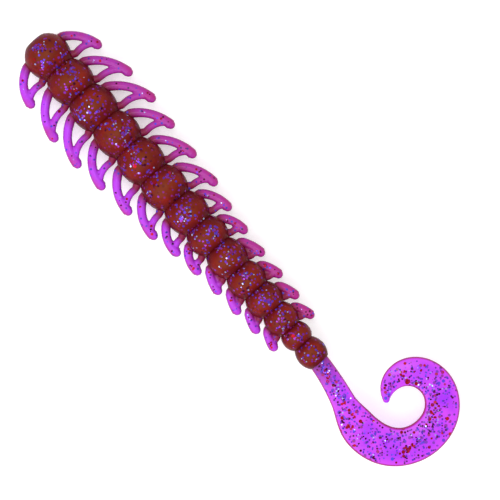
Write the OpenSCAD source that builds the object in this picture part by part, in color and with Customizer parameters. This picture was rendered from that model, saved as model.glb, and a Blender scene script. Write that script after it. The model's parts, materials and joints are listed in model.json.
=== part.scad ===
// Soft plastic worm: a ringed body, swept-back looped legs and a curled ribbon tail.
// The moulded body is divided where it flexes, into rings, cores, legs and tail lengths.
// +X runs from the nose to the tail, the tail curls towards +Y, and +Z is up.
// The origin is the centre of the flat nose face.

/* [Body] */
// Length of a full-size ring, from groove to groove
ring_pitch = 6.2; // [5.2:0.1:7.6]
// Diameter over a full-size ring
body_d = 8.3; // [7:0.1:10.2]
// Depth of the groove between two full-size rings
groove_depth = 0.9; // [0.6:0.1:1.2]
// Diameter of the flat face on the nose
nose_d = 4; // [3:0.1:5]
// Diameter of the core in the groove between two full-size rings
neck_d = 4.2; // [3.4:0.1:4.6]

/* [Legs] */
// Distance from the middle of the body to the outer edge of the longest legs
leg_reach = 9.6; // [8:0.1:11.6]
// Length that the longest legs sweep back, from their ring's front groove to the tip
leg_sweep = 9.4; // [8:0.1:10.4]
// Width of a leg's front arm
arm_w = 1.4; // [1.1:0.1:1.7]
// Width of a leg's rear strut
strut_w = 1.2; // [1:0.1:1.4]
// Diameter of a leg's rounded tip
tip_d = 1.5; // [1.2:0.1:1.8]
// Thickness of a leg
leg_t = 1.4; // [1.1:0.1:1.7]
// Depth of a leg's hinge line under the surface of a full-size ring
root_depth = 1; // [0.8:0.1:1.2]

/* [Tail] */
// Length of the ribbon, along its middle from root to tip
tail_len = 51; // [42:1:61]
// Width of the straight stem
stem_w = 3.6; // [3:0.1:4.4]
// Width of the blade where it is widest
blade_w = 7; // [5.8:0.1:8.4]
// Thickness of the ribbon
tail_t = 1.3; // [1:0.1:1.6]

/* [Movement] */
// Bend of one groove, up or down, in degrees
bend_up = 10; // [6:1:12]
// Bend of one groove to either side, in degrees
bend_side = 4; // [2:0.5:5]
// Flap of a leg, up or down, in degrees
leg_flap = 25; // [15:1:30]
// Flex of the ribbon at each line across it, in degrees
tail_flex = 20; // [10:1:25]

/* [Hidden] */
fit = 0.05;         // running clearance round a core or a hinge line
side_gap = 0.1;     // clearance beside a leg's root and a ribbon's knuckle
face_gap = 0.05;    // gap between two rings on the axis, besides the room to bend
root_wall = 0.5;    // wall of a ring in front of a leg's arm
webbed_wall = 0.85; // and in front of a webbed leg
head_root = 1.75;   // where the first pair's arms start, behind the nose
root_flare = 1.1;   // how much wider an arm is at its root
lip_trim = 0.3;     // how far a ribbon length is cut back from its hinge line
reach_out = 4;      // how far a cut runs out past what it cuts
barrel_power = 2.2; // how square the side of a ring is
nose_power = 0.8;   // below 1, the head swells more quickly behind its nose
arc_steps = 10;     // straight steps along an arc of an outline
ring_steps = 12;    // steps along the profile of a ring
round_fn = 48;      // smoothness of the round faces

// Each ring's length and girth, as a share of a full-size ring's, from the nose back
ring_shares = [1.06, 0.95, 1, 1, 1.02, 0.98, 0.92, 0.81, 0.86, 0.77, 0.74, 0.71, 0.56, 0.7];
girth_shares = [1, 1, 1, 0.99, 0.99, 0.98, 0.94, 0.91, 0.87, 0.85, 0.82, 0.75, 0.67, 0.67];
// Each pair of legs' reach and sweep, as a share of the longest legs'
reach_shares = [0.91, 1, 1, 0.94, 0.88, 0.83, 0.72, 0.66, 0.62, 0.6, 0.57, 0.54];
sweep_shares = [0.91, 0.97, 0.99, 0.93, 0.95, 0.93, 0.8, 0.71, 0.7, 0.65, 0.64, 0.61];
first_webbed = 9;   // from this pair back the space behind the arm is filled

// Each ribbon length's share of tail_len, its turn in degrees, and its width at its end
// as a share of blade_w; the first is the stem
tail_shares = [0.18, 0.09, 0.095, 0.11, 0.125, 0.1, 0.1, 0.09, 0.11];
tail_turns = [-11, 8, 29, 42, 44, 44, 53, 56, 50];
width_shares = [0.62, 0.93, 1, 0.94, 0.9, 0.88, 0.82, 0.66, 0.15];
tail_heading = -4;  // direction of the ribbon at its root, in degrees
tip_steps = 12;     // straight steps round the ribbon's tip

rings = len(ring_shares);
leg_pairs = len(reach_shares);
lengths = len(tail_shares);

function two_digits(n) = str(n < 10 ? "0" : "", n);
function sum_to(v, n) = n <= 0 ? 0 : v[n - 1] + sum_to(v, n - 1);
function names(stem, n) = [for (i = [1 : n]) str(stem, two_digits(i))];

// Half of the widest angle between two rings, shared by their two facing faces
half_bend = acos(cos(bend_up) * cos(bend_side)) / 2;

// Rings and grooves count from 1; groove i is behind ring i, and groove 0 is the nose
function girth(i) = girth_shares[i - 1];
function ring_len(i) = ring_pitch * ring_shares[i - 1];
function groove_x(i) = ring_pitch * sum_to(ring_shares, i);
function ring_r(i) = girth(i) * body_d / 2;
function groove_share(i) = (girth(i) + girth(i + 1)) / 2;
function groove_r(i) =
    i == 0 ? nose_d / 2
    : i == rings ? stem_w / 2 + side_gap
    : groove_share(i) * (body_d / 2 - groove_depth);
function neck_r(i) = neck_d / 2 * min(ring_shares[i - 1], ring_shares[i], 1);
function relief(i) =
    i == 0 || i == rings ? 0
    : face_gap + (groove_r(i) + groove_depth / 2) * tan(half_bend);

// Radius of ring i at t, which runs from -1 at its front groove to 1 at its rear groove.
// The head swells quickly behind its flat nose; every other ring is a plain barrel.
function swell(i, t) =
    pow(1 - pow(abs(t), barrel_power), i == 1 && t < 0 ? nose_power : 1);
function end_r(i, t) = t < 0 ? groove_r(i - 1) : groove_r(i);
function profile_r(i, t) = end_r(i, t) + (ring_r(i) - end_r(i, t)) * swell(i, t);

module bead_body(i) {
    length = ring_len(i);
    t0 = 2 * relief(i - 1) / length - 1;
    t1 = 1 - 2 * relief(i) / length;
    outline = [for (k = [0 : ring_steps])
        let (t = t0 + (t1 - t0) * k / ring_steps)
        [profile_r(i, t), length * (t + 1) / 2]];
    front = i == 1 ? 0 : face_gap;
    back = i == rings ? length : length - face_gap;
    rotate([0, 90, 0])
        rotate_extrude($fn = round_fn)
            polygon(concat([[0, front]], outline, [[0, back]]));
}

// A hinge seat along +X: a channel round the hinge line, and a V that opens to +Y
module seat(from, to, r, flap) {
    width = to - from;
    translate([from, 0, 0])
        rotate([0, 90, 0])
            cylinder(r = r, h = width, $fn = round_fn);
    edge = [-r * sin(flap), r * cos(flap)];
    far = edge + reach_out * [cos(flap), sin(flap)];
    translate([from, 0, 0])
        rotate([90, 0, 90])
            linear_extrude(width)
                polygon([edge, far, [far[0], -far[1]], [edge[0], -edge[1]]]);
}

// Where the roots of a leg of ring i lie along the ring; a webbed leg has one long root
function arm_from(i) =
    i == 1 ? head_root
    : relief(i - 1) + side_gap + (i < first_webbed ? root_wall : webbed_wall);
function arm_to(i) = arm_from(i) + arm_w * root_flare;
function strut_to(i) = ring_len(i) - relief(i);
function strut_from(i) = strut_to(i) - strut_w * girth(i);
function roots(i) =
    i < first_webbed ? [[arm_from(i), arm_to(i)], [strut_from(i), strut_to(i)]]
    : [[arm_from(i), strut_to(i)]];

// How far out a leg's hinge line lies, and how far out its roots end: from there on it
// may spread along the ring, as it clears the ring's surface even at the end of its flap
function hinge_y(i) = ring_r(i) - root_depth * girth(i);
function root_end(i) =
    let (h = hinge_y(i), half = leg_t / 2, clear = ring_r(i) + side_gap)
    h * (1 - cos(leg_flap))
    + sqrt(pow(h * cos(leg_flap), 2)
        - (h * h + half * half - 2 * h * half * sin(leg_flap) - clear * clear));

module bead(i) {
    color("#7a2a12")
        translate([groove_x(i - 1), 0, 0])
            difference() {
                bead_body(i);
                if (i > 1)
                    sphere(r = neck_r(i - 1) + fit, $fn = round_fn);
                if (i < rings)
                    translate([ring_len(i), 0, 0])
                        sphere(r = neck_r(i) + fit, $fn = round_fn);
                if (i <= leg_pairs)
                    for (side = [0, 1])
                        mirror([0, side, 0])
                            translate([0, hinge_y(i), 0])
                                for (root = roots(i))
                                    seat(root[0] - side_gap,
                                         root[1] < strut_to(i) ? root[1] + side_gap : ring_len(i),
                                         leg_t / 2 + fit, leg_flap);
                if (i == rings)
                    translate([ring_len(i) - stem_inset, 0, 0])
                        rotate([0, 0, tail_heading - 90])
                            seat(-stem_w / 2 - side_gap, stem_w / 2 + side_gap,
                                 tail_t / 2 + fit, tail_flex);
            }
}

module neck(i) {
    color("#5a1408")
        translate([groove_x(i), 0, 0])
            sphere(r = neck_r(i), $fn = round_fn);
}

// A curved band from a to b that bows to its left by bulge times its length,
// with its width going from w0 to w1
function bow(a, b, bulge, t) =
    a + (b - a) * t + [a[1] - b[1], b[0] - a[0]] * bulge * 4 * t * (1 - t);
function bow_side(a, b, bulge, t) =
    let (d = (b - a) + [a[1] - b[1], b[0] - a[0]] * bulge * 4 * (1 - 2 * t))
    [-d[1], d[0]] / norm(d);
module band(a, b, bulge, w0, w1) {
    function edge(t, side) =
        bow(a, b, bulge, t) + bow_side(a, b, bulge, t) * side * (w0 + (w1 - w0) * t) / 2;
    polygon(concat(
        [for (k = [0 : arc_steps]) edge(k / arc_steps, 1)],
        [for (k = [arc_steps : -1 : 0]) edge(k / arc_steps, -1)]));
}

arm_bulge = 0.12;    // how far the front arm bows out, as a share of its length
webbed_bulge = 0.09; // and the arm of a webbed leg
strut_bulge = 0.03;  // and the rear strut
join_at = 0.88;      // where along the arm the strut meets it
root_overlap = 0.3;  // how far a leg's root runs on into its arm and strut

// The arm and the strut of a leg lean back from the rear part of their roots
module leg_outline(i) {
    arm_root = [(arm_from(i) + 2 * arm_to(i)) / 3, root_end(i)];
    strut_root = [strut_to(i), root_end(i)];
    tip = [leg_sweep * sweep_shares[i - 1], leg_reach * reach_shares[i - 1]]
        - [tip_d, tip_d] / 2;
    webbed = i >= first_webbed;
    bulge = webbed ? webbed_bulge : arm_bulge;
    join = bow(arm_root, tip, bulge, join_at);
    difference() {
        union() {
            band(arm_root, tip, bulge, arm_w * root_flare, arm_w);
            band(strut_root, join, strut_bulge, strut_w * girth(i), strut_w * girth(i));
            translate(tip)
                circle(d = tip_d, $fn = round_fn);
            if (webbed)
                polygon(concat(
                    [for (k = [0 : arc_steps]) bow(arm_root, tip, bulge, join_at * k / arc_steps)],
                    [for (k = [arc_steps : -1 : 0])
                        bow(strut_root, join, strut_bulge, k / arc_steps)]));
        }
        square([ring_len(i) + reach_out, root_end(i)]);
    }
    for (root = roots(i))
        translate([root[0], hinge_y(i)])
            square([root[1] - root[0], root_end(i) - hinge_y(i) + root_overlap]);
}

module leg(i, side) {
    color("#b43fd6")
        mirror([0, side, 0])
            translate([groove_x(i - 1), 0, 0]) {
                linear_extrude(leg_t, center = true)
                    leg_outline(i);
                for (root = roots(i))
                    translate([root[0], hinge_y(i), 0])
                        rotate([0, 90, 0])
                            cylinder(d = leg_t, h = root[1] - root[0], $fn = round_fn);
            }
}

// The ribbon's middle line is a chain of arcs: where each starts, and which way it heads
stem_inset = 1.1;    // how far inside the last ring the ribbon's hinge line lies
function tail_dir(i) = tail_heading + sum_to(tail_turns, i);
function arc_len(i) = tail_len * tail_shares[i];
function arc_point(i, t) =
    let (turn = tail_turns[i] * PI / 180, a = tail_turns[i] * t, r = arc_len(i) / turn)
    [r * sin(a), r * (1 - cos(a))];
function turned(p, a) = [p[0] * cos(a) - p[1] * sin(a), p[0] * sin(a) + p[1] * cos(a)];
function tail_start(i) =
    i == 0 ? [groove_x(rings) - stem_inset, 0]
    : tail_start(i - 1) + turned(arc_point(i - 1, 1), tail_dir(i - 1));
function tail_width(i) = i == 0 ? stem_w : blade_w * width_shares[i - 1];

// Ribbon length i lies along +X from its hinge line, and ends on the next one
module ribbon(i) {
    last = i == lengths - 1;
    w0 = tail_width(i);
    w1 = tail_width(i + 1);
    turn = tail_turns[i];
    from = i == 0 ? 0 : lip_trim / arc_len(i);
    function edge(t, side) =
        let (w = w0 + (w1 - w0) * (i == 0 || last ? t * t : t))
        arc_point(i, t) + turned([0, side * w / 2], turn * t);
    steps = [for (k = [0 : arc_steps]) from + (1 - from) * k / arc_steps];
    tip = last ? [for (k = [1 : tip_steps - 1])
        arc_point(i, 1) + turned([0, w1 / 2], turn - 180 * k / tip_steps)] : [];
    difference() {
        linear_extrude(tail_t, center = true)
            polygon(concat(
                [for (t = steps) edge(t, 1)],
                tip,
                [for (k = [arc_steps : -1 : 0]) edge(steps[k], -1)]));
        if (i > 0)
            rotate([90, 0, 0])
                cylinder(r = tail_t / 2 + fit, h = w0 + reach_out, center = true, $fn = round_fn);
    }
    if (i == 0)
        rotate([90, 0, 0])
            cylinder(d = tail_t, h = w0 - side_gap, center = true, $fn = round_fn);
    if (!last)
        translate(arc_point(i, 1))
            rotate([90, 0, turn])
                cylinder(d = tail_t, h = w1 - side_gap, center = true, $fn = round_fn);
}

module tail(i) {
    color("#c050ee")
        translate(tail_start(i))
            rotate([0, 0, tail_dir(i)])
                ribbon(i);
}

for (i = [1 : rings])
    bead(i);
for (i = [1 : rings - 1])
    neck(i);
for (i = [1 : leg_pairs])
    leg(i, 0);
for (i = [1 : leg_pairs])
    leg(i, 1);
tail(0);  // tail_stem
for (i = [1 : lengths - 1])
    tail(i);
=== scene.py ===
import json
import math
import random

import bmesh
import bpy
from mathutils import Matrix, Vector, noise

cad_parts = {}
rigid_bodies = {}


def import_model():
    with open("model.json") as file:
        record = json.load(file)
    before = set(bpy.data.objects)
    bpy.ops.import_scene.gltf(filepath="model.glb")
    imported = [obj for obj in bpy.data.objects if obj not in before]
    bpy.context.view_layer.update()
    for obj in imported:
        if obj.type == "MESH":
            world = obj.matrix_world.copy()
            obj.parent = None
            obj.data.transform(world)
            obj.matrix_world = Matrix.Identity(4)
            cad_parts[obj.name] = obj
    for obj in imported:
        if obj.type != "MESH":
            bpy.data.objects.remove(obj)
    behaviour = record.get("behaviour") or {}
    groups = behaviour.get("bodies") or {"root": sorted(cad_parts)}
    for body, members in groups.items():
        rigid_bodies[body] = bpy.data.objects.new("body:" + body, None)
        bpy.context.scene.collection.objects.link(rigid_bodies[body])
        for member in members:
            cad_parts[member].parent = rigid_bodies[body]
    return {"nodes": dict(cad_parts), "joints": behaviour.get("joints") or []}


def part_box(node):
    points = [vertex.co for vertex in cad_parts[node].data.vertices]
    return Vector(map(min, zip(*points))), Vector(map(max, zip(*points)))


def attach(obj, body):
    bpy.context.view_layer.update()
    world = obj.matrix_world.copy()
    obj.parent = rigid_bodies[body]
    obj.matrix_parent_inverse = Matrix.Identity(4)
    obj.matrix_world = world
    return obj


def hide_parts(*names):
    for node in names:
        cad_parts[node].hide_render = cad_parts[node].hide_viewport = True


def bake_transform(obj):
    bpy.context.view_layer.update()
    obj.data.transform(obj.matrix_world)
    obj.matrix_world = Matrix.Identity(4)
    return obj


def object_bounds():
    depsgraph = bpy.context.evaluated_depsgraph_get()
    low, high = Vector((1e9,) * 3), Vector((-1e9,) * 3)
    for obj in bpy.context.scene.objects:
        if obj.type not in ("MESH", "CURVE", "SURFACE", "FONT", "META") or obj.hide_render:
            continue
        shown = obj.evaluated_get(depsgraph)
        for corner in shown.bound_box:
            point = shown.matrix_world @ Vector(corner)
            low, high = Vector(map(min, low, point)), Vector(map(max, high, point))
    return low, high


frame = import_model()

cad_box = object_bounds()

# ---------------------------------------------------------------------------
# Rings. The body is one soft casting: a row of balls with a crisp crease
# between each two, the first with a flat nose and rounded shoulders. The
# plastic is a deep red with glitter. Its brown on each ring's top and underside
# is partly the thick plastic's own tone and partly a painted highlight, and
# its darker red in the creases and along the sides is painted shade.
# ---------------------------------------------------------------------------
MM = 0.001
boxes = {name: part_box(name) for name in frame["nodes"]}
hinges = {joint["name"]: joint for joint in frame["joints"]}
ring_names = sorted(name for name in frame["nodes"] if name.startswith("bead_"))
ring_count = len(ring_names)
nose_radius = 2.0 * MM
stem_radius = 1.9 * MM
nose_rounding = 0.25 * MM
ring_fit = 0.99          # of the CAD ring's radius, which leaves room for the swelling
crease_share = 0.72      # radius at the bottom of a crease, as a share of the rings' radius
ball_power = 2.0         # how square a ring's outline is
ball_fullness = 0.9      # how steeply it dives into the crease
nose_fullness = 0.8      # and how steeply the first ring dives to its nose
skin_share = 0.3         # share of a ring at each end that stretches as the body bends
outline_steps = 16
round_steps = 72
corner_angle = math.radians(50)
weld = 0.002 * MM
swell_noise = 0.006      # uneven swelling of the soft plastic, as a share of the radius
swell_scale = 450        # lumps in a metre
refraction = 1.45
ring_red = (0.13, 0.003, 0.004, 1)
ring_bright = (0.23, 0.009, 0.004, 1)
# The next two: brown for each ring's crown, partly the thick plastic's tone and partly a
# painted highlight; and dark red, painted shade in the creases and along the sides.
ring_thick_tone_and_highlight = (0.16, 0.028, 0.006, 1)
ring_painted_shade = (0.045, 0.0008, 0.0025, 1)
dust_dark = (0.05, 0.003, 0.01, 1)
dust_violet = (0.2, 0.035, 0.55, 1)
dust_blue = (0.07, 0.04, 0.6, 1)
dust_red = (0.42, 0.006, 0.012, 1)
deep_maroon = (0.07, 0.001, 0.01, 1)
deep_violet = (0.24, 0.016, 0.26, 1)


def ring_radius(number):
    return boxes[f"bead_{number:02d}"][1].z


def crease_x(number):
    """Where a crease lies; crease 0 is the nose, and the last one is the body's rear end."""
    if number == 0:
        return boxes[ring_names[0]][0].x
    if number == ring_count:
        return boxes[ring_names[-1]][1].x
    return hinges[f"groove_{number:02d}_up_down"]["pos_m"][0]


def crease_radius(number):
    if number == 0:
        return nose_radius
    if number == ring_count:
        return stem_radius
    return (ring_radius(number) + ring_radius(number + 1)) / 2 * crease_share


def skin_reach(number):
    """How far the stretching skin runs to either side of a crease."""
    if number in (0, ring_count):
        return 0
    lengths = [crease_x(k + 1) - crease_x(k) for k in (number - 1, number)]
    return skin_share * min(lengths)


def surface_radius(number, x):
    """Radius of a ring's surface at x."""
    front, back = crease_x(number - 1), crease_x(number)
    t = max(-1, min(1, 2 * (x - front) / (back - front) - 1))
    end = crease_radius(number - 1 if t < 0 else number)
    fullness = nose_fullness if number == 1 and t < 0 else ball_fullness
    swell = (1 - abs(t) ** ball_power) ** fullness
    return end + (ring_radius(number) * ring_fit - end) * swell


def ring_outline(number, start, end):
    """(x, radius) along a ring's surface from start to end, closest at the two ends."""
    spread = [(1 - math.cos(math.pi * k / outline_steps)) / 2 for k in range(outline_steps + 1)]
    return [(x, surface_radius(number, x)) for x in (start + (end - start) * s for s in spread)]


def spun(bm, outline, closed=False):
    """Spins a chain of (x, radius) points round the body's axis."""
    points = [bm.verts.new((x, 0, radius)) for x, radius in outline]
    pairs = list(zip(points, points[1:] + points[:1] if closed else points[1:]))
    edges = [bm.edges.new(pair) for pair in pairs]
    bmesh.ops.spin(bm, geom=points + edges, axis=(1, 0, 0), cent=(0, 0, 0),
                   steps=round_steps, angle=2 * math.pi, use_merge=True)
    bmesh.ops.remove_doubles(bm, verts=bm.verts, dist=weld)


def new_object(name, data):
    made = bpy.data.objects.new(name, data)
    bpy.context.scene.collection.objects.link(made)
    return made


def new_mesh(name, bm):
    mesh = bpy.data.meshes.new(name)
    bm.to_mesh(mesh)
    bm.free()
    return mesh


def new_piece(name, bm):
    """Turns a shape's faces outwards and makes it an object, smooth but for its corners."""
    bmesh.ops.recalc_face_normals(bm, faces=bm.faces)
    for edge in bm.edges:
        edge.smooth = edge.calc_face_angle(0) < corner_angle
    mesh = new_mesh(name, bm)
    mesh.shade_smooth()
    return new_object(name, mesh)


def body_piece(name, bm, number):
    """A piece of ring number's plastic: swollen unevenly, and marked where it is thickest as
    seen from above, for the brown tone and painted highlight there and the painted shade away
    from it.
    """
    front, back, radius = crease_x(number - 1), crease_x(number), ring_radius(number)
    crown = bm.verts.layers.float.new("crown")
    for v in bm.verts:
        t = 2 * (v.co.x - front) / (back - front) - 1
        v[crown] = max(0, 1 - t * t) * min(1, abs(v.co.z) / radius) ** 2
        swell = 1 + swell_noise * (noise.noise(v.co * swell_scale) - 0.5)
        v.co.y *= swell
        v.co.z *= swell
    piece = new_piece(name, bm)
    piece.data.materials.append(ring_plastic)
    return piece


def ring(number):
    """The middle of a ring, which keeps its shape as the body bends."""
    start = crease_x(number - 1) + skin_reach(number - 1)
    end = crease_x(number) - skin_reach(number)
    outline = ring_outline(number, start, end)
    bm = bmesh.new()
    spun(bm, [(start, 0)] + outline + [(end, 0)])
    if number == 1:
        rim = [edge for edge in bm.edges
               if all(abs(v.co.x - start) < weld and abs(v.co.yz.length - nose_radius) < weld
                      for v in edge.verts)]
        bmesh.ops.bevel(bm, geom=rim, offset=nose_rounding, segments=4, profile=0.5,
                        affect="EDGES", material=-1)
    piece = body_piece(f"ring_{number:02d}", bm, number)
    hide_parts(f"bead_{number:02d}")
    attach(piece, f"bead_{number:02d}")


def new_node(tree, kind, inputs=None, **settings):
    """Adds a node, sets its plain values, and links the inputs that are sockets."""
    made = tree.nodes.new(kind)
    for name, value in settings.items():
        setattr(made, name, value)
    for name, value in (inputs or {}).items():
        if isinstance(value, bpy.types.NodeSocket):
            tree.links.new(value, made.inputs[name])
        else:
            made.inputs[name].default_value = value
    return made


def ranged(tree, value, low, high, start=0.0, end=1.0, **settings):
    """Takes a value in low..high to start..end, and holds it at the ends."""
    return new_node(tree, "ShaderNodeMapRange",
                    {"Value": value, "From Min": low, "From Max": high,
                     "To Min": start, "To Max": end}, **settings).outputs[0]


def maths(tree, operation, *values):
    return new_node(tree, "ShaderNodeMath", dict(enumerate(values)),
                    operation=operation).outputs[0]


def object_place(tree):
    return new_node(tree, "ShaderNodeTexCoord").outputs["Object"]


def clouds(tree, place, scale, detail):
    return new_node(tree, "ShaderNodeTexNoise",
                    {"Vector": place, "Scale": scale, "Detail": detail}).outputs["Fac"]


def mark(tree, name):
    """A value that a piece's mesh carries under this name."""
    return new_node(tree, "ShaderNodeAttribute", attribute_name=name).outputs["Fac"]


def mixed(tree, factor, first, second):
    """A colour that goes from first to second with factor."""
    mix = new_node(tree, "ShaderNodeMix", {0: factor, 6: first, 7: second}, data_type="RGBA")
    return mix.outputs[2]


def new_group(name, inputs, outputs):
    """A shader group with plain number inputs; returns its tree, its inputs and its end."""
    tree = bpy.data.node_groups.new(name, "ShaderNodeTree")
    for label, value in inputs.items():
        socket = tree.interface.new_socket(label, in_out="INPUT", socket_type="NodeSocketFloat")
        socket.default_value = value
    for label in outputs:
        tree.interface.new_socket(label, in_out="OUTPUT", socket_type="NodeSocketFloat")
    given = tree.nodes.new("NodeGroupInput").outputs
    return tree, given, tree.nodes.new("NodeGroupOutput").inputs


def dust_group():
    """Fine flakes deep in the plastic: small spots cut from cells, each with its own tint."""
    tree, given, end = new_group("flake_dust",
                                 {"Cells": 1500, "Spot": 0.3, "Share": 0.5, "Crisp": 0.75},
                                 ["Mask", "Tint"])
    cells = new_node(tree, "ShaderNodeTexVoronoi",
                     {"Vector": object_place(tree), "Scale": given["Cells"]})
    inner = maths(tree, "MULTIPLY", given["Spot"], given["Crisp"])
    spot = ranged(tree, cells.outputs["Distance"], inner, given["Spot"], 1.0, 0.0)
    tints = new_node(tree, "ShaderNodeSeparateColor", {"Color": cells.outputs["Color"]})
    shown = maths(tree, "LESS_THAN", tints.outputs["Red"], given["Share"])
    tree.links.new(maths(tree, "MULTIPLY", spot, shown), end["Mask"])
    tree.links.new(tints.outputs["Green"], end["Tint"])
    return tree


def skin_group():
    """The satin skin of soft plastic: shallow waves, fine grain, and the mould's joint line."""
    tree, given, end = new_group("plastic_skin", {"Gloss": 0.3, "Grain": 1.0, "Joint": 1.0},
                                 ["Roughness", "Height"])
    place = object_place(tree)
    waves = clouds(tree, place, 500, 2)
    grain = clouds(tree, place, 4200, 3)
    rough = ranged(tree, waves, 0.3, 0.7, -0.06, 0.08)
    height = maths(tree, "MULTIPLY_ADD", grain, given["Grain"], waves)
    split = new_node(tree, "ShaderNodeSeparateXYZ", {"Vector": place})
    level = maths(tree, "ABSOLUTE", split.outputs["Z"])
    line = ranged(tree, level, 0.05 * MM, 0.16 * MM, 2.0, 0.0, interpolation_type="SMOOTHSTEP")
    ridge = maths(tree, "MULTIPLY_ADD", line, given["Joint"], height)
    tree.links.new(maths(tree, "ADD", rough, given["Gloss"]), end["Roughness"])
    tree.links.new(ridge, end["Height"])
    return tree


flake_dust = dust_group()
plastic_skin = skin_group()


def dusted(tree, colour, first, second, cells, spot, share, crisp):
    """Colour with fine flakes in it, in tints from first to second."""
    dust = new_node(tree, "ShaderNodeGroup", node_tree=flake_dust)
    for label, value in (("Cells", cells), ("Spot", spot), ("Share", share), ("Crisp", crisp)):
        dust.inputs[label].default_value = value
    tint = mixed(tree, dust.outputs["Tint"], first, second)
    return mixed(tree, dust.outputs["Mask"], colour, tint)


def soft_plastic(name):
    """A new material with its tree and its Principled shader."""
    material = bpy.data.materials.new(name)
    material.use_nodes = True
    tree = material.node_tree
    return material, tree, tree.nodes["Principled BSDF"]


def skinned(tree, shader, shine, depth, gloss, grain, joint):
    """Gives a shader the plastic's sheen, with roughness and bump from the plastic's skin."""
    skin = new_node(tree, "ShaderNodeGroup", node_tree=plastic_skin)
    for label, value in (("Gloss", gloss), ("Grain", grain), ("Joint", joint)):
        skin.inputs[label].default_value = value
    bump = new_node(tree, "ShaderNodeBump", {"Height": skin.outputs["Height"],
                                             "Distance": depth, "Strength": 0.6})
    tree.links.new(skin.outputs["Roughness"], shader.inputs["Roughness"])
    tree.links.new(bump.outputs["Normal"], shader.inputs["Normal"])
    shader.inputs["IOR"].default_value = refraction
    shader.inputs["Specular IOR Level"].default_value = shine


def make_ring_plastic():
    material, tree, shader = soft_plastic("ring_plastic")
    crown = mark(tree, "crown")
    patch = ranged(tree, clouds(tree, object_place(tree), 330, 4), 0.4, 0.7)
    colour = mixed(tree, patch, ring_red, ring_bright)
    # Painted shade: darker red in the creases and along the ring's sides. Brown on the crown:
    # partly the thick plastic's tone, partly a painted highlight.
    colour = mixed(tree, ranged(tree, crown, 0.0, 0.5, 0.65, 0.0), colour, ring_painted_shade)
    colour = mixed(tree, ranged(tree, crown, 0.4, 1.0, 0.0, 0.8), colour, ring_thick_tone_and_highlight)
    colour = dusted(tree, colour, deep_maroon, ring_bright,
                    cells=1000, spot=0.4, share=0.5, crisp=0.1)
    colour = dusted(tree, colour, deep_violet, deep_maroon,
                    cells=1500, spot=0.38, share=0.6, crisp=0.2)
    tree.links.new(colour, shader.inputs["Base Color"])
    skinned(tree, shader, shine=0.1, depth=0.03 * MM, gloss=0.36, grain=0.5, joint=0.8)
    return material


ring_plastic = make_ring_plastic()
for number in range(1, ring_count + 1):
    ring(number)

# ---------------------------------------------------------------------------
# Creases. The casting bends where its rings meet, and its skin stretches on
# one side and folds on the other. So the skin there is made as two half bands
# that meet at the crease's bottom; here they are made in place and do not bend.
# ---------------------------------------------------------------------------
skin_wall = 0.8 * MM


def crease_skin(number, ring_number, start, end):
    """The band of ring_number's skin from start to end, beside crease number."""
    outline = ring_outline(ring_number, start, end)
    core = crease_radius(number) - skin_wall
    bm = bmesh.new()
    spun(bm, outline + [(end, core), (start, core)], closed=True)
    piece = body_piece(f"crease_{number:02d}_{'front' if ring_number == number else 'rear'}",
                       bm, ring_number)
    if ring_number == number:
        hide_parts(f"neck_{number:02d}")
    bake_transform(piece)


for number in range(1, ring_count):
    middle, reach = crease_x(number), skin_reach(number)
    crease_skin(number, number, middle - reach, middle)
    crease_skin(number, number + 1, middle, middle + reach)

# ---------------------------------------------------------------------------
# Legs. Each leg grows out of a ring's side in the mould's joint plane: a bar
# that sweeps back to a rounded tip, with a thinner strut behind it. They are
# cast in one with the rings. The rear four pairs are webbed.
# ---------------------------------------------------------------------------
leg_pairs = sum(name.startswith("leg_left_") for name in frame["nodes"])
first_webbed = 9
arm_radius = 0.83 * MM   # before the bars are eased together, which thins them a little
strut_radius = 0.67 * MM
tip_radius = 0.8 * MM
tip_inset = 0.13 * MM    # the arm bows out a little past its tip
leg_flatness = 0.84      # thickness of a leg, as a share of a bar's width
web_half = 0.36 * MM     # half the thickness of a webbed leg's web
arm_bow = {"left": 0.115, "right": 0.14}
webbed_bow = 0.085
strut_bow = 0.13
join_at = 0.92           # where along the arm the strut runs in
join_steps = 12          # along an arm and a strut
arm_setback = 0.85 * MM  # of an arm, behind its leg's front
strut_setback = 0.25 * MM    # of a strut, in front of the next crease
foot_depth = 0.4 * MM    # of the bars' feet, in from the leg's hidden root
arm_flare = 1.25         # how much thicker an arm is at its foot
strut_flare = 1.3
leg_voxel = 0.11 * MM
leg_violet = {"left": (0.35, 0.024, 0.36, 1), "right": (0.45, 0.042, 0.82, 1)}
leg_rose = (0.4, 0.012, 0.16, 1)
leg_flush = {"left": 0.75, "right": 0.3}    # how much rosier the last pair is than the first
leg_tip = (0.42, 0.012, 0.1, 1)
# painted shade along the bars' rounded sides
leg_edge_shade = (0.22, 0.006, 0.12, 1)
leg_root = (0.22, 0.006, 0.05, 1)


def bowed(start, end, bow, t):
    """A point on the bowed line from start to end, which leans forwards by bow."""
    along = end - start
    return start + along * t + Vector((-along.y, along.x, 0)) * bow * 4 * t * (1 - t)


def bar(bm, points, radii):
    """A round bar through the points: rings of its own radius, bridged and capped."""
    loops = []
    for i, point in enumerate(points):
        ahead = points[min(i + 1, len(points) - 1)] - points[max(i - 1, 0)]
        turn = ahead.to_track_quat("Z", "Y").to_matrix().to_4x4()
        made = bmesh.ops.create_circle(bm, segments=12, radius=radii[i],
                                       matrix=Matrix.Translation(point) @ turn)
        edges = [e for e in bm.edges if all(v in made["verts"] for v in e.verts)]
        loops.append(edges)
        if i:
            bmesh.ops.bridge_loops(bm, edges=loops[-2] + loops[-1])
    for edges in (loops[0], loops[-1]):
        bmesh.ops.holes_fill(bm, edges=edges, sides=0)


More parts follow.
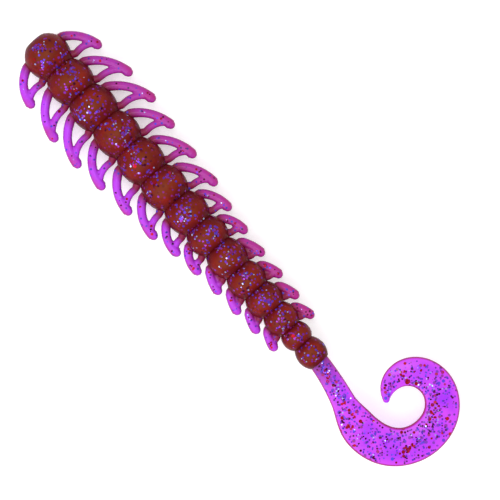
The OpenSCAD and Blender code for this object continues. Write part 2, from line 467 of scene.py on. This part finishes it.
def leg_shape(number, side):
    """A leg's bars and web in one mesh that is still in parts. It is drawn for the left side,
    and turned over for the right."""
    low, high = boxes[f"leg_left_{number:02d}"]
    surface = ring_radius(number)
    arm_x = low.x + arm_setback
    strut_x = crease_x(number) - strut_setback
    webbed = number >= first_webbed
    bow = webbed_bow if webbed else arm_bow[side]
    arm_start = Vector((arm_x, surface + 0.1 * MM, 0))
    arm_foot = Vector((arm_x - 0.1 * MM, low.y + foot_depth, 0))
    tip = Vector((high.x - tip_radius, high.y - tip_radius - tip_inset, 0))
    strut_start = Vector((strut_x, surface * 0.97, 0))
    strut_foot = Vector((strut_x - 0.6 * MM, low.y + foot_depth, 0))
    join = bowed(arm_start, tip, bow, join_at)
    along = [k / join_steps for k in range(join_steps + 1)]
    arm = [bowed(arm_start, tip, bow, t) for t in along]
    strut = [bowed(strut_start, join, strut_bow, t) for t in along]
    bm = bmesh.new()
    thick = [arm_radius * (1.08 - 0.14 * math.sin(math.pi * t) + 0.06 * t) for t in along]
    bar(bm, [arm_foot] + arm, [arm_radius * arm_flare] + thick)
    thin = strut_radius * (0.55 + 0.45 * surface / ring_radius(1))
    bar(bm, [strut_foot] + strut, [thin * strut_flare] + [thin] * len(strut))
    bmesh.ops.create_icosphere(bm, subdivisions=3, radius=tip_radius,
                               matrix=Matrix.Translation(tip))
    if webbed:
        edge = [arm_foot] + arm[:-2] + strut[::-1] + [strut_foot]
        face = bm.faces.new([bm.verts.new(point - Vector((0, 0, web_half))) for point in edge])
        grown = bmesh.ops.extrude_face_region(bm, geom=[face])["geom"]
        raised = [item for item in grown if isinstance(item, bmesh.types.BMVert)]
        bmesh.ops.translate(bm, verts=raised, vec=(0, 0, 2 * web_half))
    across = -1 if side == "right" else 1
    bmesh.ops.scale(bm, vec=(1, across, leg_flatness), verts=bm.verts)
    return bm


def marked(mesh, name, values):
    """Makes the mesh carry a value for each vertex under this name."""
    mesh.attributes.new(name, "FLOAT", "POINT").data.foreach_set("value", values)


def leg(number, side):
    name = f"leg_{side}_{number:02d}"
    rough = new_piece(name + "_rough", leg_shape(number, side))
    joined = rough.modifiers.new("joined", "REMESH")
    joined.mode = "VOXEL"
    joined.voxel_size = leg_voxel
    joined.use_smooth_shade = True
    eased = rough.modifiers.new("eased", "SMOOTH")
    eased.factor = 0.5
    eased.iterations = 5
    graph = bpy.context.evaluated_depsgraph_get()
    mesh = bpy.data.meshes.new_from_object(rough.evaluated_get(graph))
    mesh.name = name + "_form"
    bpy.data.objects.remove(rough)
    mesh.shade_smooth()
    surface = ring_radius(number)
    reach = boxes[f"leg_left_{number:02d}"][1].y - surface
    marked(mesh, "outward", [(abs(v.co.y) - surface) / reach for v in mesh.vertices])
    marked(mesh, "flush", [leg_flush[side] * number / leg_pairs] * len(mesh.vertices))
    # How far the surface turns from facing up, which sets the painted shade along the bars'
    # sides.
    marked(mesh, "rim", [1 - abs(v.normal.z) for v in mesh.vertices])
    mesh.materials.clear()
    mesh.materials.append(leg_plastic[side])
    piece = new_object(name + "_form", mesh)
    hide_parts(name)
    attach(piece, name)


def make_leg_plastic(side):
    material, tree, shader = soft_plastic(f"leg_plastic_{side}")
    outward, rim = mark(tree, "outward"), mark(tree, "rim")
    patch = ranged(tree, clouds(tree, object_place(tree), 420, 3), 0.45, 0.75, 0.0, 0.6)
    blush = maths(tree, "MAXIMUM", patch, mark(tree, "flush"))
    colour = mixed(tree, blush, leg_violet[side], leg_rose)
    colour = mixed(tree, ranged(tree, outward, 0.72, 1.0, 0.0, 0.7), colour, leg_tip)
    # Painted shade: darker along the bars' rounded sides.
    colour = mixed(tree, ranged(tree, rim, 0.12, 0.75, 0.0, 0.9), colour, leg_edge_shade)
    colour = mixed(tree, ranged(tree, outward, -0.05, 0.3, 1.0, 0.0), colour, leg_root)
    colour = dusted(tree, colour, dust_blue, dust_dark,
                    cells=1300, spot=0.34, share=0.3, crisp=0.6)
    tree.links.new(colour, shader.inputs["Base Color"])
    skinned(tree, shader, shine=0.3, depth=0.02 * MM, gloss=0.28, grain=0.4, joint=1.0)
    return material


leg_plastic = {side: make_leg_plastic(side) for side in ("left", "right")}
for side in ("left", "right"):
    for number in range(1, leg_pairs + 1):
        leg(number, side)

# ---------------------------------------------------------------------------
# Tail. A flat ribbon of violet plastic, cast with the body: a narrow stem that
# widens to a blade and curls round to a small rounded tip. It is made here in
# lengths from middle to middle of the parts that bend.
tail_bodies = ["tail_stem"] + sorted(n for n in frame["nodes"] if n.startswith("tail_blade_"))
tail_hinges = [hinges["tail_root_flex"]] + [hinges[f"tail_flex_{i}"]
                                            for i in range(1, len(tail_bodies))]
tail_widths = [w * MM for w in (3.5, 4.35, 6.5, 7.0, 6.57, 6.27, 6.07, 5.63, 4.3, 1.2)]
tip_length = 4.8 * MM
tip_turn = 62            # degrees that the last length turns
ribbon_half = 0.62 * MM
length_steps = 14
ribbon_sides = 24
tip_steps = 5            # that round off the very end
beyond_root = 99         # a "from_root" that is past the root's colour
tail_violet = (0.34, 0.022, 0.84, 1)
tail_pink = (0.56, 0.05, 0.8, 1)
# painted shade along the ribbon's rounded edges
tail_edge_shade = (0.3, 0.008, 0.09, 1)
tail_root = (0.22, 0.02, 0.2, 1)


def heading(hinge):
    """Which way the ribbon heads at a hinge, in radians."""
    return math.atan2(hinge["axis"][0], -hinge["axis"][1])


def tail_arcs():
    """Start, heading, turn and length of the middle line's arc in each length."""
    arcs = []
    for i, hinge in enumerate(tail_hinges):
        start = Vector(hinge["pos_m"])
        if i + 1 < len(tail_hinges):
            after = tail_hinges[i + 1]
            turn = (heading(after) - heading(hinge) + math.pi) % (2 * math.pi) - math.pi
            chord = (Vector(after["pos_m"]) - start).length
            length = chord * (turn / 2) / math.sin(turn / 2)
        else:
            turn = math.radians(tip_turn)
            length = tip_length
        arcs.append((start, heading(hinge), turn, length))
    return arcs


arcs = tail_arcs()


def tail_point(i, t):
    """Place and heading on the middle line, at share t of length i."""
    start, angle, turn, length = arcs[i]
    radius = length / turn
    now = angle + turn * t
    move = Vector((math.sin(now) - math.sin(angle), math.cos(angle) - math.cos(now), 0))
    return start + radius * move, now


def tail_width(i, t):
    """Width of the ribbon at share t of length i, eased through the widths at the hinges."""
    if i + 1 == len(arcs):
        return tail_widths[i] + (tail_widths[i + 1] - tail_widths[i]) * (0.6 + 0.4 * t) * t
    w0, w1, w2, w3 = (tail_widths[max(i + k, 0)] for k in (-1, 0, 1, 2))
    ease = ((2 * w0 - 5 * w1 + 4 * w2 - w3) * t * t + (3 * (w1 - w2) + w3 - w0) * t ** 3)
    return w1 + 0.5 * ((w2 - w0) * t + ease)


def ribbon_loop(bm, across, place, angle, width, half):
    """One round-edged cross-section of the ribbon, with how far across each point lies."""
    turn = Matrix.Rotation(angle, 4, "Z") @ Matrix.Rotation(math.pi / 2, 4, "Y")
    made = bmesh.ops.create_circle(bm, segments=ribbon_sides, radius=half,
                                   matrix=Matrix.Translation(place) @ turn)["verts"]
    sideways = Vector((-math.sin(angle), math.cos(angle), 0))
    for v in made:
        off = (v.co - place).dot(sideways)
        side = math.copysign(1, off) if abs(off) > half * 0.01 else 0
        v.co += sideways * side * max(width / 2 - half, 0)
        v[across] = (v.co - place).dot(sideways) / (width / 2)
    return made


def ribbon(i):
    """The ribbon from the middle of length i - 1 to the middle of length i."""
    bm = bmesh.new()
    across = bm.verts.layers.float.new("across")
    from_root = bm.verts.layers.float.new("from_root")
    last = i + 1 == len(arcs)
    stations = []
    if i:
        stations += [(i - 1, 0.5 + 0.5 * k / length_steps) for k in range(length_steps)]
    end = 1.0 if last else 0.5
    stations += [(i, end * k / length_steps) for k in range(length_steps + 1)]
    sections = [(*tail_point(*s), tail_width(*s), ribbon_half) for s in stations]
    if last:
        place, angle, width, half = sections[-1]
        ahead = Vector((math.cos(angle), math.sin(angle), 0))
        for k in range(1, tip_steps):
            lean = math.pi / 2 * k / tip_steps
            sections.append((place + ahead * width / 2 * math.sin(lean), angle,
                             width * math.cos(lean), half * math.cos(lean)))
    loops = []
    for section in sections:
        made = ribbon_loop(bm, across, *section)
        loops.append([e for e in bm.edges if all(v in made for v in e.verts)])
        if len(loops) > 1:
            bmesh.ops.bridge_loops(bm, edges=loops[-2] + loops[-1])
    for edges in (loops[0], loops[-1]):
        bmesh.ops.holes_fill(bm, edges=edges, sides=0)
    for v in bm.verts:
        v[from_root] = (v.co.x - crease_x(ring_count)) / MM if i < 2 else beyond_root
    piece = new_piece(f"ribbon_{i}", bm)
    piece.data.materials.append(tail_plastic)
    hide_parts(tail_bodies[i])
    bend_tail(piece)


def bend_tail(piece):
    """Bakes a piece of the tail's placing into its mesh; the piece is not bent."""
    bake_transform(piece)


def make_tail_plastic():
    material, tree, shader = soft_plastic("tail_plastic")
    side = maths(tree, "ABSOLUTE", mark(tree, "across"))
    pale = ranged(tree, side, 0.35, 0.85)
    waver = ranged(tree, clouds(tree, object_place(tree), 260, 3), 0.35, 0.65)
    root = ranged(tree, mark(tree, "from_root"), 0, 6, 0.85, 0.0)
    colour = mixed(tree, maths(tree, "MAXIMUM", pale, waver), tail_violet, tail_pink)
    colour = mixed(tree, root, colour, tail_root)
    colour = dusted(tree, colour, dust_blue, dust_red,
                    cells=1150, spot=0.4, share=0.5, crisp=0.75)
    colour = dusted(tree, colour, dust_violet, dust_dark,
                    cells=1700, spot=0.36, share=0.5, crisp=0.75)
    # Painted shade: a dark maroon line along the ribbon's rounded edges.
    colour = mixed(tree, ranged(tree, side, 0.87, 0.96), colour, tail_edge_shade)
    tree.links.new(colour, shader.inputs["Base Color"])
    skinned(tree, shader, shine=0.3, depth=0.02 * MM, gloss=0.24, grain=0.3, joint=0.0)
    return material


tail_plastic = make_tail_plastic()
for i in range(len(arcs)):
    ribbon(i)

# ---------------------------------------------------------------------------
# Glitter. Thin six-sided metal flakes stirred into the plastic before it is
# cast: fine blue-violet, maroon and pale ones, and some larger red ones. Made
# here are those that show: near the surface, and close to flat in it.
# ---------------------------------------------------------------------------
flake_depth = 0.03 * MM
ring_flake_density = 8.5     # for each square millimetre of a ring's length by its radius
crease_flake_share = 0.6     # of that density, in the skin beside a crease
tail_flake_density = 4.2     # for each square millimetre of the ribbon, on both faces
leg_flake_count = 14
body_clusters = 3        # on a ring's top, and as many on its underside
clustered_share = 0.68
cluster_spread = 0.6 * MM
red_patch_share = 0.014  # share of the tail's flakes with a patch of large red ones beside
red_patch_counts = (1, 2, 4)
red_patch_spread = 0.3 * MM
edge_margin = 0.75 * MM  # free of flakes, at each edge of the ribbon
buried = 0.005 * MM      # how far a flake's middle lies under the surface
ribbon_buried = 0.004 * MM
body_shares = (30, 44, 10, 2, 14)    # of the kinds below, in their order
leg_shares = (36, 0, 38, 16, 10)
tail_shares = (52, 16, 20, 4, 10)
red_only = (0, 0, 0, 1, 0)
flake_kinds = [          # name, colour, radius in mm, roughness
    ("blue", (0.14, 0.06, 0.68, 1), 0.2, 0.3),
    ("violet", (0.34, 0.05, 0.5, 1), 0.2, 0.3),
    ("maroon", (0.1, 0.003, 0.035, 1), 0.22, 0.35),
    ("red", (0.4, 0.006, 0.016, 1), 0.33, 0.3),
    ("pale", (0.5, 0.62, 0.95, 1), 0.15, 0.22),
]
chance = random.Random(14)


def make_flake_foil(name, colour, rough):
    material, tree, shader = soft_plastic(name)
    darker = tuple(c * 0.45 for c in colour[:3]) + (1,)
    # Painted glint: each flake is lighter in some patches and darker in others.
    tint = mixed(tree, clouds(tree, object_place(tree), 2500, 2), darker, colour)
    dim = tuple(c * w for c, w in zip(colour, (0.5, 0.25, 0.55))) + (1,)
    tint = mixed(tree, ranged(tree, mark(tree, "sunk"), 0.2, 1.0, 0.0, 0.85), tint, dim)
    tree.links.new(tint, shader.inputs["Base Color"])
    shader.inputs["Metallic"].default_value = 0.9
    shader.inputs["Roughness"].default_value = rough
    return material


foils = [make_flake_foil(f"foil_{name}", colour, rough)
         for name, colour, _, rough in flake_kinds]


def add_flake(bm, place, facing, shares, size=1.0):
    """One flake at a place, tilted a little off the way it faces. It gets a random depth mark
    but stays at its place; the deeper the mark, the dimmer it looks."""
    sunk = bm.verts.layers.float.get("sunk") or bm.verts.layers.float.new("sunk")
    depth = chance.random()
    kind = chance.choices(range(len(flake_kinds)), shares)[0]
    radius = flake_kinds[kind][2] * MM * size * chance.uniform(0.7, 1.25)
    tilt = Vector([chance.uniform(-0.12, 0.12) for _ in range(3)])
    turn = (facing.normalized() + tilt).to_track_quat("Z", "Y").to_matrix().to_4x4()
    turn = turn @ Matrix.Rotation(chance.uniform(0, math.pi), 4, "Z")
    made = bmesh.ops.create_cone(bm, cap_ends=True, segments=6, radius1=radius, radius2=radius,
                                 depth=flake_depth, matrix=Matrix.Translation(place) @ turn)
    for v in made["verts"]:
        v[sunk] = depth
        for face in v.link_faces:
            face.material_index = kind


def flake_piece(name, bm):
    piece = new_object(name, new_mesh(name, bm))
    for foil in foils:
        piece.data.materials.append(foil)
    return piece


def body_flakes(number, start, end, count):
    """Flakes in ring number's surface from start to end, gathered in clusters along the top
    and the underside."""
    bm = bmesh.new()
    clusters = [(chance.uniform(start, end), chance.gauss(0, 0.32) + face)
                for face in (0, math.pi) for _ in range(body_clusters)]
    for _ in range(count):
        if chance.random() < clustered_share:
            x, angle = chance.choice(clusters)
            x += chance.gauss(0, cluster_spread)
            angle += chance.gauss(0, cluster_spread / ring_radius(number))
        else:
            x = chance.uniform(start, end)
            angle = chance.gauss(0, 0.85) + chance.choice((0, math.pi))
        x = max(start, min(end, x))
        out = Vector((0, math.sin(angle), math.cos(angle)))
        radius = surface_radius(number, x)
        slope = (surface_radius(number, x + 0.1 * MM) - radius) / (0.1 * MM)
        place = Vector((x, 0, 0)) + out * (radius * (1 - swell_noise * 0.5) - buried)
        add_flake(bm, place, out - Vector((slope, 0, 0)), body_shares)
    return bm


def ring_flakes(number):
    start = crease_x(number - 1) + max(skin_reach(number - 1), 1.2 * MM if number == 1 else 0)
    end = crease_x(number) - max(skin_reach(number), 0.8 * MM)
    area = (end - start) * ring_radius(number) / (MM * MM)
    bm = body_flakes(number, start, end, int(area * ring_flake_density))
    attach(flake_piece(f"ring_flakes_{number:02d}", bm), f"bead_{number:02d}")


def crease_flakes(number):
    """Flakes in the skin on both sides of a crease."""
    middle, reach = crease_x(number), skin_reach(number)
    area = reach * ring_radius(number) / (MM * MM)
    count = int(area * ring_flake_density * crease_flake_share)
    bm = body_flakes(number, middle - reach, middle - 0.2 * MM, count)
    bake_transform(flake_piece(f"crease_flakes_{number:02d}_front", bm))
    bm = body_flakes(number + 1, middle + 0.2 * MM, middle + reach, count)
    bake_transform(flake_piece(f"crease_flakes_{number:02d}_rear", bm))


def leg_flakes(number, side):
    """Flakes in a leg's upper and lower faces, which are found from the leg's own mesh."""
    mesh = bpy.data.objects[f"leg_{side}_{number:02d}_form"].data
    flat = [v for v in mesh.vertices
            if abs(v.normal.z) > 0.93 and abs(v.co.y) > ring_radius(number) + 0.2 * MM]
    bm = bmesh.new()
    for v in chance.sample(flat, min(len(flat), leg_flake_count)):
        add_flake(bm, v.co - v.normal * buried, v.normal, leg_shares, 0.75)
    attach(flake_piece(f"leg_flakes_{side}_{number:02d}", bm), f"leg_{side}_{number:02d}")


def tail_flakes(i):
    """Flakes for the same stretch of the tail as ribbon i."""
    bm = bmesh.new()
    up = Vector((0, 0, 1))
    spans = [(i, 0.0, 0.96 if i + 1 == len(arcs) else 0.5)]
    if i:
        spans.append((i - 1, 0.5, 1.0))
    for length, t0, t1 in spans:
        stretch = arcs[length][3] * (t1 - t0) / MM
        width = tail_width(length, (t0 + t1) / 2) / MM
        crowd, scatter = (1.5, 0.4) if length == 0 else (1, 0.75)
        for _ in range(int(tail_flake_density * stretch * width * crowd)):
            t = chance.uniform(t0, t1)
            place, angle = tail_point(length, t)
            room = tail_width(length, t) / 2 - edge_margin
            spread = max(-1, min(1, chance.gauss(0, scatter))) * room
            side = Vector((-math.sin(angle), math.cos(angle), 0)) * spread
            place = place + up * chance.choice((-1, 1)) * (ribbon_half - ribbon_buried)
            if chance.random() < red_patch_share:
                for _ in range(chance.choice(red_patch_counts)):
                    near = Vector([chance.gauss(0, red_patch_spread) for _ in range(2)] + [0])
                    add_flake(bm, place + side * 0.85 + near, up, red_only)
            add_flake(bm, place + side, up, tail_shares, 0.88)
    bend_tail(flake_piece(f"ribbon_flakes_{i}", bm))


for number in range(1, ring_count + 1):
    ring_flakes(number)
for number in range(1, ring_count):
    crease_flakes(number)
for number in range(1, leg_pairs + 1):
    leg_flakes(number, "left")
    leg_flakes(number, "right")
for i in range(len(arcs)):
    tail_flakes(i)

# ---------------------------------------------------------------------------
# Stage. The worm lies on its rings on a plain pale floor, under a soft white
# sky, with a broad lamp on one side and a smaller one overhead for the sheen.
# The camera looks straight down, turned so that the nose points up and left.
# ---------------------------------------------------------------------------
low, high = cad_box
field = 87.3 * MM        # width of the picture
camera_turn = math.radians(48.38)
aim = (low + high) / 2 + Vector((2.1, 0.9, 0)) * MM    # middle of the picture
lens = 120
sensor = 36


def make_floor():
    bm = bmesh.new()
    bmesh.ops.create_grid(bm, x_segments=1, y_segments=1, size=2.0,
                          matrix=Matrix.Translation((aim.x, aim.y, low.z)))
    floor = new_object("floor", new_mesh("floor", bm))
    material, _, shader = soft_plastic("floor_white")
    shader.inputs["Base Color"].default_value = (0.9, 0.9, 0.9, 1)
    shader.inputs["Emission Color"].default_value = (1, 1, 1, 1)
    shader.inputs["Emission Strength"].default_value = 0.3
    shader.inputs["Roughness"].default_value = 0.9
    shader.inputs["Specular IOR Level"].default_value = 0.1
    floor.data.materials.append(material)


def make_lamp(name, place, size, power):
    lamp = bpy.data.lights.new(name, "AREA")
    lamp.shape = "DISK"
    lamp.size = size
    lamp.energy = power
    holder = new_object(name, lamp)
    holder.location = aim + Vector(place)
    holder.rotation_euler = (-Vector(place)).to_track_quat("-Z", "Y").to_euler()


def make_sky():
    world = bpy.data.worlds.new("sky")
    world.use_nodes = True
    sky = world.node_tree.nodes["Background"]
    sky.inputs["Color"].default_value = (1, 1, 1, 1)
    sky.inputs["Strength"].default_value = 0.9
    bpy.context.scene.world = world


def make_camera():
    data = bpy.data.cameras.new("camera")
    data.lens = lens
    data.sensor_width = sensor
    data.clip_start = 0.01
    holder = new_object("camera", data)
    holder.location = (aim.x, aim.y, field * lens / sensor)
    holder.rotation_euler = (0, 0, camera_turn)
    bpy.context.scene.camera = holder


make_floor()
make_sky()
make_lamp("side_lamp", (0.02, -0.35, 0.4), 0.5, 1.3)
make_lamp("top_lamp", (-0.05, 0.03, 0.5), 0.15, 0.35)
make_camera()
bpy.context.scene.view_settings.view_transform = "Standard"
